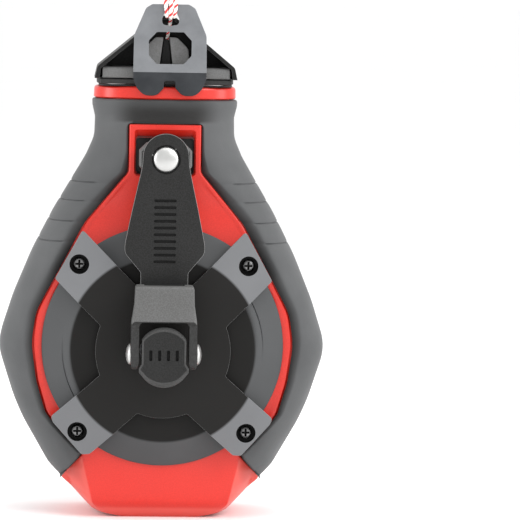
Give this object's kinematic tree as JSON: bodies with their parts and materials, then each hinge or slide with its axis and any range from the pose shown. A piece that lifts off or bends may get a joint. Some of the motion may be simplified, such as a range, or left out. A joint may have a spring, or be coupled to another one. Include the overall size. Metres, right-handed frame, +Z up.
{
  "type": "chalk line reel",
  "caption": "Hand-held chalk line reel: pear-shaped case with rubber grips, a fold-out crank on a planetary gear train, a hinged filling cap and a steel hook on the line.",
  "frame": {"origin": "centre of the flat foot that the reel stands on", "axes": "+Z up from the foot to the hook, the crank side faces -Y, +X to the right of someone facing the crank"},
  "size_m": [0.1354, 0.0782, 0.2187],
  "materials": {
    "red_plastic": "satin moulded",
    "grip_rubber": "matt",
    "dark_plastic": "fine texture",
    "grey_plastic": "fine texture",
    "black_plastic": "satin",
    "black_rubber": "matt",
    "steel": "brushed",
    "bright_steel": "polished",
    "gear_plastic": "satin",
    "felt": "felt",
    "chalk_line": "twisted cotton"
  },
  "bodies": {
    "root": {"front_shell": "red_plastic", "rear_shell": "red_plastic", "front_grip": "grip_rubber", "rear_grip": "grip_rubber", "mouth_collar": "red_plastic", "mouth_gasket": "black_rubber", "gear_housing": "dark_plastic", "gear_cover": "grey_plastic", "ring_gear": "gear_plastic", "gear_backplate": "steel", "spool_axle": "steel", "line_inside": "chalk_line", "cap_hinge_pin": "steel", "case_screw_1": "steel", "case_screw_2": "steel", "case_screw_3": "steel", "case_screw_4": "steel", "case_screw_5": "steel", "case_screw_6": "steel", "cover_screw_1": "steel", "cover_screw_2": "steel", "cover_screw_3": "steel", "cover_screw_4": "steel"},
    "crank": {"crank_hub": "dark_plastic", "planet_carrier": "steel", "planet_pin_1": "steel", "planet_pin_2": "steel", "planet_pin_3": "steel", "button_spring": "steel"},
    "handle": {"yoke": "grey_plastic", "crank_arm": "dark_plastic", "hinge_rivet_left": "bright_steel", "hinge_rivet_right": "bright_steel", "knob_rivet": "bright_steel"},
    "knob": {"knob": "black_plastic"},
    "button": {"push_button": "dark_plastic", "clutch_pin": "steel"},
    "spool": {"spool_drum": "black_plastic", "line_winding": "chalk_line", "sun_gear": "gear_plastic"},
    "planet_1": {"planet_gear_1": "gear_plastic"},
    "planet_2": {"planet_gear_2": "gear_plastic"},
    "planet_3": {"planet_gear_3": "gear_plastic"},
    "cap": {"nose_cap": "black_plastic", "line_guide_left": "grey_plastic", "line_guide_right": "grey_plastic", "wiper_felt_front": "felt", "wiper_felt_rear": "felt"},
    "hook": {"hook": "steel", "line_run": "chalk_line", "line_loop": "chalk_line"}
  },
  "joints": [
    {"name": "crank_spin", "type": "hinge", "parent": "root", "child": "crank", "pos_m": [0, 0, 0.072], "axis": [0, -1, 0], "continuous": true},
    {"name": "handle_fold", "type": "hinge", "parent": "crank", "child": "handle", "pos_m": [0, -0.046, 0.072], "axis": [1, 0, 0], "range_deg": [0, 180]},
    {"name": "knob_spin", "type": "hinge", "parent": "handle", "child": "knob", "pos_m": [0, -0.028, 0.1517], "axis": [0, -1, 0], "continuous": true},
    {"name": "button_press", "type": "slide", "parent": "crank", "child": "button", "axis": [0, 1, 0], "range_m": [0, 0.0025], "stiffness_N_per_m": 600, "springref_m": -0.003, "deforming": ["button_spring"]},
    {"name": "spool_spin", "type": "hinge", "parent": "root", "child": "spool", "pos_m": [0, 0, 0.072], "axis": [0, -1, 0], "continuous": true},
    {"name": "planet_spin_1", "type": "hinge", "parent": "crank", "child": "planet_1", "pos_m": [0, -0.0238, 0.093], "axis": [0, -1, 0], "continuous": true},
    {"name": "planet_spin_2", "type": "hinge", "parent": "crank", "child": "planet_2", "pos_m": [-0.01819, -0.0238, 0.0615], "axis": [0, -1, 0], "continuous": true},
    {"name": "planet_spin_3", "type": "hinge", "parent": "crank", "child": "planet_3", "pos_m": [0.01819, -0.0238, 0.0615], "axis": [0, -1, 0], "continuous": true},
    {"name": "cap_open", "type": "hinge", "parent": "root", "child": "cap", "pos_m": [0, 0.0208, 0.183], "axis": [-1, 0, 0], "range_deg": [0, 100]},
    {"name": "hook_lift", "type": "slide", "parent": "cap", "child": "hook", "axis": [0, 0, 1], "range_m": [0, 0.015]}
  ],
  "couplings": [
    {"joint": "spool_spin", "follows": "crank_spin", "ratio": 4},
    {"joint": "planet_spin_1", "follows": "crank_spin", "ratio": -3},
    {"joint": "planet_spin_2", "follows": "crank_spin", "ratio": -3},
    {"joint": "planet_spin_3", "follows": "crank_spin", "ratio": -3}
  ]
}
